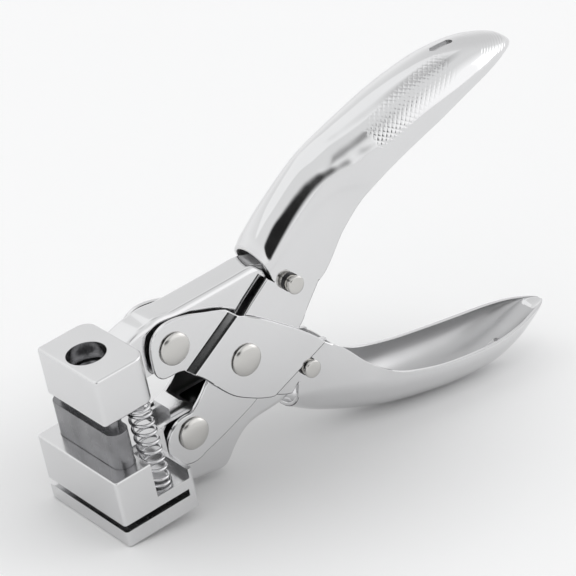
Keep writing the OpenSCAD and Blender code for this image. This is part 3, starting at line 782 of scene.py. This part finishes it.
lower = prism("block_lower", block_outline(LOWER_X, LOWER_HALF, 1.0, 1.0), 0, LOWER_TOP)
bevel(lower, 0.45, 3, 30)
tongue = prism("tongue_lower", [(11.7, 3), (28, 3), (28, 17), (27.6, 21), (23.6, 24.5), (19.5, 23.7),
                                (19.5, 17.5), (11.7, 17.5)], -TONGUE_HALF, TONGUE_HALF, "Y")
boolean(lower, tongue, "UNION")
cutters = [
    box("work_slit", (-PAST, -PAST, SLIT_Z[0]), (11.2, PAST, SLIT_Z[1])),
    prism("guide", hang_hole(0.1), 6, 60),
    prism("waste", hang_hole(1.0), -5, 4),
    box("die_seat", (-9.52, -19.02, 2.1), (7.52, 19.02, 6.0)),
]
for s in (-1, 1):
    # Spring recess open to the rear, the hole for its peg and the hole of a die screw
    y0, y1 = sorted((s * 8.2, s * PAST))
    cutters.append(box("recess", (0.9, y0, SPRING_FOOT), (12.2, y1, 60)))
    cutters.append(box("recess_back", (0.9, y0, 13.5), (PAST, y1, 60)))
    cutters.append(prism("peg_hole", circle_points(SPRING_X, s * SPRING_Y, 2.32, 32), 8.6, 12))
    cutters.append(prism("screw_hole", circle_points(4.2, s * 12.5, 1.3, 32), -1, 3))
cut(lower, *cutters)
bevel(lower, 0.2, 3, 50)
finish_piece(bake(lower, [tongue] + cutters, 40), BLOCK, "lower_jaw", "lower_block")

# ------------------------------------------------------------------ punch
punch = prism("punch_body", hang_hole(0.0, 16), 9.4, 33.6)
neck = prism("punch_neck", hang_hole(-2.2, 16), 12, 39.6)
bevel(punch, 0.15, 2, 60)
boolean(punch, neck, "UNION")
finish_piece(bake(punch, [neck], 40), TOOL, "upper_jaw", "punch")

screw = lathe("screw_punch", [(0, 28.8), (2.5, 28.8), (2.5, 42.02), (4.75, 42.02), (5.0, 42.3), (5.0, 46.0),
                              (4.6, 46.4), (3.2, 46.4), (2.9, 46.1), (0, 46.1)], 72)
hexagon = prism("hexagon", [(2.9 * math.cos(math.radians(60 * i)), 2.9 * math.sin(math.radians(60 * i)))
                            for i in range(6)], 43.8, 50)
cut(screw, hexagon)
finish_piece(bake(screw, [hexagon], 40), TOOL, "upper_jaw", "punch_screw")


# ------------------------------------------------------------------ springs
def spring(name, side):
    """Compression spring with its end turns closed, leaning in towards the top."""
    # Number of turns, radius of the wire and of the coil
    turns, wire, r = 9.5, 0.5, 3.2
    per, around = (48, 14) if FULL else (24, 8)
    n = int(turns * per)
    t = np.linspace(0, turns, n + 1)
    rate = 0.36 + 0.64 * fade(t, 0.4, 1.3) * (1 - fade(t, turns - 1.3, turns - 0.4))
    lift = np.concatenate([[0], np.cumsum((rate[1:] + rate[:-1]) / 2)])
    lift /= lift[-1]
    low, high = SPRING_FOOT + wire, UPPER_Z[0] - 0.02 - wire
    a = 2 * math.pi * t * side
    cy = side * (SPRING_Y - 2.1 * lift)
    cz = low + (high - low) * lift
    path = np.stack([SPRING_X + r * np.cos(a), cy + r * np.sin(a), cz], axis=1)
    along = np.gradient(path, axis=0)
    along /= np.linalg.norm(along, axis=1)[:, None]
    out = np.stack([np.cos(a), np.sin(a), np.zeros(n + 1)], axis=1)
    out -= along * np.sum(out * along, axis=1)[:, None]
    out /= np.linalg.norm(out, axis=1)[:, None]
    cross = np.cross(along, out)
    verts, faces = [], []
    for i in range(n + 1):
        for k in range(around):
            b = 2 * math.pi * k / around
            verts.append(path[i] + wire * (out[i] * math.cos(b) + cross[i] * math.sin(b)))
    for i in range(n):
        for k in range(around):
            p, q = i * around + k, i * around + (k + 1) % around
            faces.append((p, q, q + around, p + around))
    faces += [tuple(range(around)), tuple(range(n * around, (n + 1) * around))]
    o = new_object(name, verts, faces)
    fix_normals(o)
    return bake(o, smooth_angle=50)


for name, side, node_name in (("coil_left", 1, "spring_left"), ("coil_right", -1, "spring_right")):
    o = finish_piece(spring(name, side), WIRE, "lower_jaw", node_name)
    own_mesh(o)


# ------------------------------------------------------------------ rivets and pins
def cross_piece(name, at, profile, mat, body, node_name, steps=72):
    """Turned part across the tool: half profile as (radius, distance from the middle plane)."""
    full = [(r, -y) for r, y in profile[::-1]] + [(r, y) for r, y in profile if y > 1e-6]
    o = lathe(name, full, steps)
    o.data.transform(Matrix.Translation((at[0], 0, at[1])) @ Matrix.Rotation(math.radians(-90), 4, "X"))
    fix_normals(o)
    finish_piece(bake(o, smooth_angle=50), mat, body, node_name)


def dome(face, r, h, shank):
    """Profile of a domed head on a shank, from the middle plane out to the apex."""
    rim = 0.42
    prof = [(shank, 0.0), (shank, face), (r - 0.7, face), (r - 0.7, face + 0.2), (r - 0.12, face + 0.22),
            (r, face + 0.32), (r, face + rim)]
    for a in np.radians(np.linspace(4, 82, 14)[:-1] * 90 / 82):
        prof.append((r * math.cos(a) ** 0.8, face + rim + (h - rim) * math.sin(a)))
    return prof + [(0.0, face + h)]


HEAD_R, HEAD_H, HEAD_GAP = 5, 1.6, 0.05
raised_head = dome(RAISED_OUT + HEAD_GAP, HEAD_R, HEAD_H, 2.6)
cheek_head = dome(CHEEK_OUT + HEAD_GAP, HEAD_R, HEAD_H, 3.0)
cross_piece("rivet_pivot", PIVOT, raised_head, RIVET, "upper_handle", "pivot_rivet")
cross_piece("rivet_up", FRONT_UP, cheek_head, RIVET, "upper_jaw", "upper_front_rivet")
cross_piece("rivet_low", FRONT_LOW, cheek_head, RIVET, "lower_jaw", "lower_front_rivet")
stud = [(2.5, 0.0), (2.5, CHEEK_OUT + 0.7), (2.2, CHEEK_OUT + 0.7), (2.2, 9.9), (2.6, 9.9), (2.8, 10.05),
        (2.8, 10.65), (2.7, 10.85), (2.4, 10.96), (1.2, 11.0), (0.0, 11.0)]
cross_piece("stud_up", SLIDE_UP, stud, RIVET, "upper_handle", "upper_slide_pin")
cross_piece("stud_low", SLIDE_LOW, stud, RIVET, "lower_handle", "lower_slide_pin")

# ------------------------------------------------------------------ stage, light and camera
FLOOR_Z = -0.00195
FLOOR_HALF = 6.0


def make_floor():
    """Pale floor, with a painted shadow that makes it a little darker under the tool."""
    me = bpy.data.meshes.new("floor")
    corners = ((-1, -1), (1, -1), (1, 1), (-1, 1))
    me.from_pydata([(x * FLOOR_HALF, y * FLOOR_HALF, FLOOR_Z) for x, y in corners], [], [(0, 1, 2, 3)])
    o = bpy.data.objects.new("floor", me)
    bpy.context.scene.collection.objects.link(o)
    m = bpy.data.materials.new("floor")
    m.use_nodes = True
    tree = m.node_tree
    shader = tree.nodes["Principled BSDF"]
    coord = tree.nodes.new("ShaderNodeTexCoord")
    mapping = tree.nodes.new("ShaderNodeMapping")
    mapping.vector_type = "TEXTURE"
    mapping.inputs["Location"].default_value = (0.045, 0.0, FLOOR_Z)
    mapping.inputs["Scale"].default_value = (0.13, 0.11, 1.0)
    tree.links.new(coord.outputs["Object"], mapping.inputs["Vector"])
    ball = tree.nodes.new("ShaderNodeTexGradient")
    ball.gradient_type = "SPHERICAL"
    tree.links.new(mapping.outputs["Vector"], ball.inputs["Vector"])
    # Painted shadow: the floor's colour darkens towards the middle, under the tool
    tone = tree.nodes.new("ShaderNodeValToRGB")
    tone.color_ramp.interpolation = "EASE"
    tone.color_ramp.elements[0].color = (0.98, 0.98, 0.98, 1)
    tone.color_ramp.elements[1].color = (0.72, 0.72, 0.72, 1)
    tree.links.new(ball.outputs["Fac"], tone.inputs["Fac"])
    tree.links.new(tone.outputs["Color"], shader.inputs["Base Color"])
    shader.inputs["Roughness"].default_value = 0.9
    shader.inputs["Specular IOR Level"].default_value = 0.1
    me.materials.append(m)


make_floor()


def area_light(name, at, look_at, size, power):
    data = bpy.data.lights.new(name, "AREA")
    data.shape = "RECTANGLE"
    data.size, data.size_y = size
    data.energy = power
    o = bpy.data.objects.new(name, data)
    bpy.context.scene.collection.objects.link(o)
    o.location = at
    o.rotation_euler = (Vector(look_at) - Vector(at)).to_track_quat("-Z", "Y").to_euler()


CENTRE = (0.07, 0, 0.045)
area_light("key", (-0.3, 0.5, 1.8), CENTRE, (2.4, 2.4), 3.5)
area_light("right", (1.9, -0.9, 0.7), CENTRE, (1.2, 1.2), 3)

world = bpy.data.worlds.new("studio")
bpy.context.scene.world = world
world.use_nodes = True
sky_tree = world.node_tree
background = sky_tree.nodes["Background"]
background.inputs["Strength"].default_value = 1.0
direction = sky_tree.nodes.new("ShaderNodeTexCoord").outputs["Generated"]


def tent_walls():
    """Tone of the light tent by height, from the floor's grey through a pale wall to the top."""
    split = sky_tree.nodes.new("ShaderNodeSeparateXYZ")
    sky_tree.links.new(direction, split.inputs["Vector"])
    rise = sky_tree.nodes.new("ShaderNodeMapRange")
    rise.inputs["From Min"].default_value = -1
    sky_tree.links.new(split.outputs["Z"], rise.inputs["Value"])
    ramp = sky_tree.nodes.new("ShaderNodeValToRGB")
    stops = ramp.color_ramp.elements
    stops[0].color = (0.55, 0.555, 0.56, 1)
    stops[1].color = (0.90, 0.905, 0.91, 1)
    for height, tone in ((0.42, 0.92), (0.62, 1.05), (0.80, 0.92)):
        stops.new(height).color = (tone, tone * 1.003, tone * 1.006, 1)
    sky_tree.links.new(rise.outputs["Result"], ramp.inputs["Fac"])
    return ramp.outputs["Color"]


def add_card(tent, az, el, half_az, half_el, lean, tone, edge):
    """Soft-edged card in front of the tent's walls."""
    a, e = math.radians(az), math.radians(el)
    c = Vector((math.sin(a) * math.cos(e), math.cos(a) * math.cos(e), math.sin(e)))
    side = Vector((math.cos(a), -math.sin(a), 0))
    up = c.cross(side)
    turn = Matrix.Rotation(math.radians(lean), 3, c) @ Matrix((c, side, up)).transposed()
    mapping = sky_tree.nodes.new("ShaderNodeMapping")
    mapping.vector_type = "TEXTURE"
    mapping.inputs["Location"].default_value = c
    mapping.inputs["Rotation"].default_value = turn.to_euler("XYZ")
    half_sizes = (math.sin(math.radians(half_az)), math.sin(math.radians(half_el)))
    mapping.inputs["Scale"].default_value = (1.2, *half_sizes)
    sky_tree.links.new(direction, mapping.inputs["Vector"])
    ball = sky_tree.nodes.new("ShaderNodeTexGradient")
    ball.gradient_type = "SPHERICAL"
    sky_tree.links.new(mapping.outputs["Vector"], ball.inputs["Vector"])
    soft = sky_tree.nodes.new("ShaderNodeMapRange")
    soft.inputs["From Max"].default_value = edge
    sky_tree.links.new(ball.outputs["Fac"], soft.inputs["Value"])
    mix = sky_tree.nodes.new("ShaderNodeMix")
    mix.data_type = "RGBA"
    sky_tree.links.new(soft.outputs["Result"], mix.inputs["Factor"])
    sky_tree.links.new(tent, mix.inputs["A"])
    mix.inputs["B"].default_value = (tone, tone, tone * 1.005, 1)
    return mix.outputs["Result"]


# Direction of each card's middle (0 = +Y, 90 = +X) and its height, half sizes and lean, all in degrees, then its
# tone and the share of it that the soft edge takes
CARDS = (
    (60, 35, 35, 40, 0, 0.80, 0.6),
    (135, 15, 42, 36, 0, 1.28, 0.5),
    (95, 78, 20, 18, 0, 0.5, 0.6),
    (180, 37, 3.5, 17, 0, 0.3, 0.6),
    (-160, 22, 36, 11.5, -33, 0.02, 0.25),
)
tent = tent_walls()
for card in CARDS:
    tent = add_card(tent, *card)
sky_tree.links.new(tent, background.inputs["Color"])

# The camera's place in mm and the way it looks, in the mechanism's axes: turned from +Y towards +X, tipped down
# and rolled, in degrees
CAM_AT = (-342.6, -647.5, 506.9)
CAM_TURN, CAM_DOWN, CAM_ROLL = 32.486, 31.481, 11.509
cam_data = bpy.data.cameras.new("camera")
cam_data.sensor_width = 36
cam_data.lens = 193.0
cam_data.clip_start = 0.01
cam = bpy.data.objects.new("camera", cam_data)
bpy.context.scene.collection.objects.link(cam)
cam_axes = (Matrix.Rotation(-TILT, 4, "Y")
            @ Matrix.Rotation(math.radians(-CAM_TURN), 4, "Z")
            @ Matrix.Rotation(math.radians(90 - CAM_DOWN), 4, "X")
            @ Matrix.Rotation(math.radians(-CAM_ROLL), 4, "Z"))
cam.matrix_world = Matrix.Translation(to_frame(*CAM_AT)) @ cam_axes
bpy.context.scene.camera = cam
bpy.context.scene.view_settings.view_transform = "Standard"
